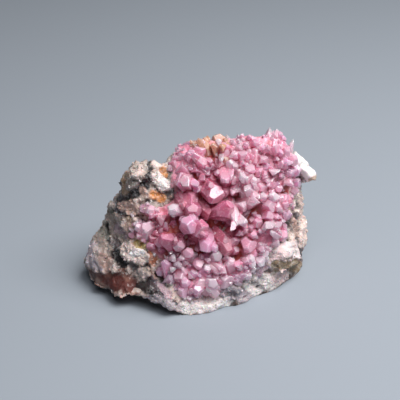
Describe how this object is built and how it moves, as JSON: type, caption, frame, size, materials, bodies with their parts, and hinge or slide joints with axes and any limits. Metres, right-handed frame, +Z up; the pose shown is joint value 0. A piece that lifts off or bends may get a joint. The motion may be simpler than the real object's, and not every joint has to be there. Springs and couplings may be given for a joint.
{
  "type": "mineral specimen",
  "caption": "Broken lump of pale and grey host rock with a druse of pink calcite crystals over its sloping front, resting on a flat foot.",
  "frame": {"origin": "middle of the bounding box at the flat foot", "axes": "+X along the specimen's longest side, to the right as its crystal face is seen, +Y from the crystal face to the back, +Z up"},
  "size_m": [0.0598, 0.0413, 0.0386],
  "materials": {
    "host_rock": "rough broken rock, mottled cream, grey and brown",
    "pink_calcite": "glossy translucent pink crystal faces"
  },
  "bodies": {
    "root": {"matrix_rock": "host_rock", "crystal_crust": "pink_calcite", "left_cluster": "pink_calcite"}
  },
  "joints": []
}
